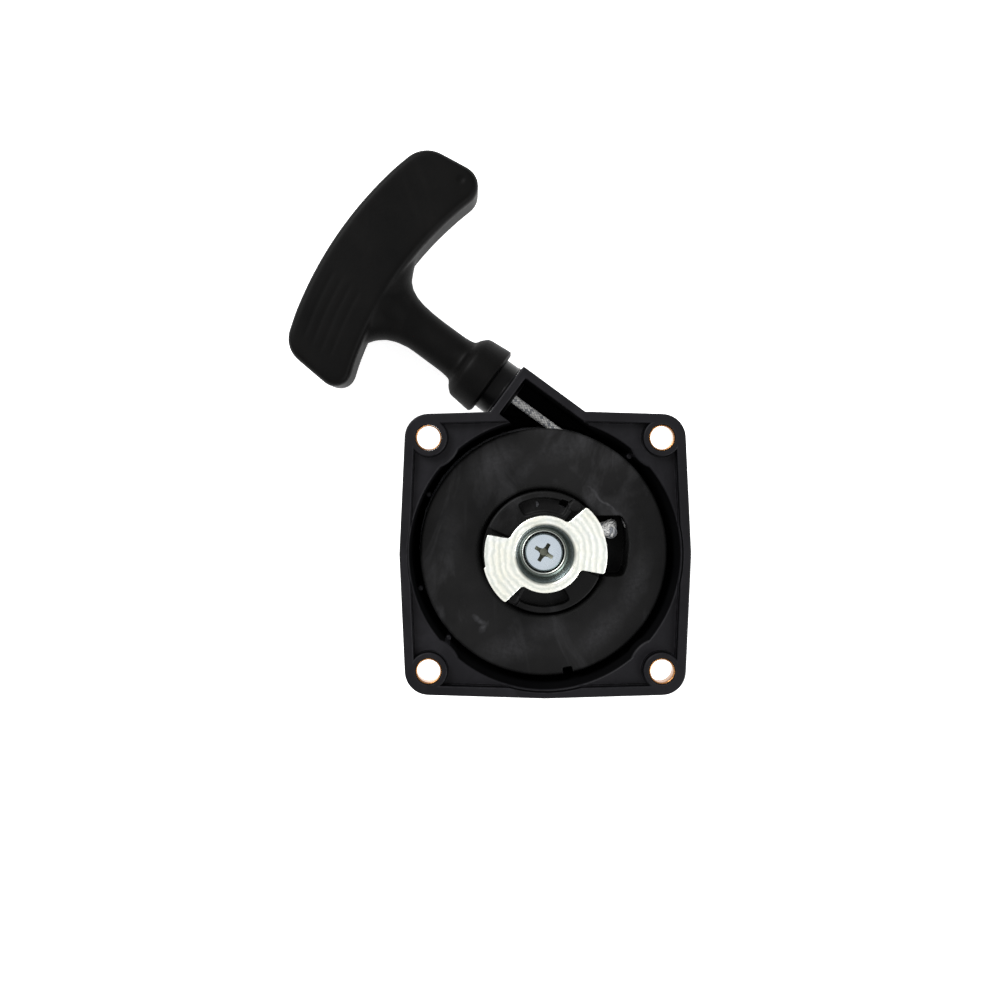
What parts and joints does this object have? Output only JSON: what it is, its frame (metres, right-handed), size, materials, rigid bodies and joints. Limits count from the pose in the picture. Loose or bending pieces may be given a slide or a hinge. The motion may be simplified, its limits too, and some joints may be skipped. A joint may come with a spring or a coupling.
{
  "type": "recoil starter",
  "caption": "Square-flanged recoil starter with a rope reel, two-winged drive claw and T-handle on a pull rope.",
  "frame": {"origin": "crank axis where it meets the housing's flat back face", "axes": "+Z along the crank axis out of the open engine side, +X across the flange away from the rope outlet, +Y along the flange towards the rope outlet's end"},
  "size_m": [0.1081, 0.1472, 0.027],
  "materials": {
    "housing_nylon": "satin moulded nylon",
    "reel_nylon": "matte moulded nylon with pale scuffs",
    "handle_nylon": "satin moulded grip",
    "bush_brass": "turned and knurled",
    "bearing_bronze": "sintered bronze",
    "zinc_claw": "bright zinc plate with a faint yellow passivation",
    "zinc_screw": "blue zinc plate",
    "dark_steel": "phosphated steel",
    "spring_steel": "tempered spring steel",
    "rope_braid": "braided polyester with dark flecks"
  },
  "bodies": {
    "housing": {"housing": "housing_nylon", "mounting_bush_1": "bush_brass", "mounting_bush_2": "bush_brass", "mounting_bush_3": "bush_brass", "mounting_bush_4": "bush_brass", "rope_guide": "reel_nylon", "spring_case": "dark_steel", "spring_cover": "dark_steel", "mainspring": "spring_steel", "post_insert": "bush_brass", "retaining_washer": "dark_steel", "center_screw": "zinc_screw"},
    "reel": {"reel": "reel_nylon", "reel_bush": "bearing_bronze", "damper_spring": "spring_steel", "rope_coil": "rope_braid", "reel_knot": "rope_braid"},
    "drive": {"drive_hub": "reel_nylon", "drive_claw": "zinc_claw"},
    "handle": {"handle_grip": "handle_nylon", "handle_cap": "handle_nylon", "handle_knot": "rope_braid", "knot_washer": "dark_steel", "rope_run": "rope_braid"}
  },
  "joints": [
    {"name": "reel_spin", "type": "hinge", "parent": "housing", "child": "reel", "pos_m": [0, 0, 0], "axis": [0, 0, 1], "range_deg": [0, 1245], "stiffness_Nm_per_rad": 0.014, "springref_deg": -613.06, "deforming": ["mainspring"]},
    {"name": "handle_pull", "type": "slide", "parent": "housing", "child": "handle", "axis": [-0.8059, 0.592, 0], "range_m": [0, 0.6], "deforming": ["rope_run"]},
    {"name": "drive_windup", "type": "hinge", "parent": "reel", "child": "drive", "pos_m": [0, 0, 0], "axis": [0, 0, 1], "range_deg": [-180, 0], "stiffness_Nm_per_rad": 0.4, "springref_deg": 17.19, "deforming": ["damper_spring"]}
  ],
  "couplings": [
    {"joint": "handle_pull", "follows": "reel_spin", "m_per_rad": 0.0276}
  ]
}
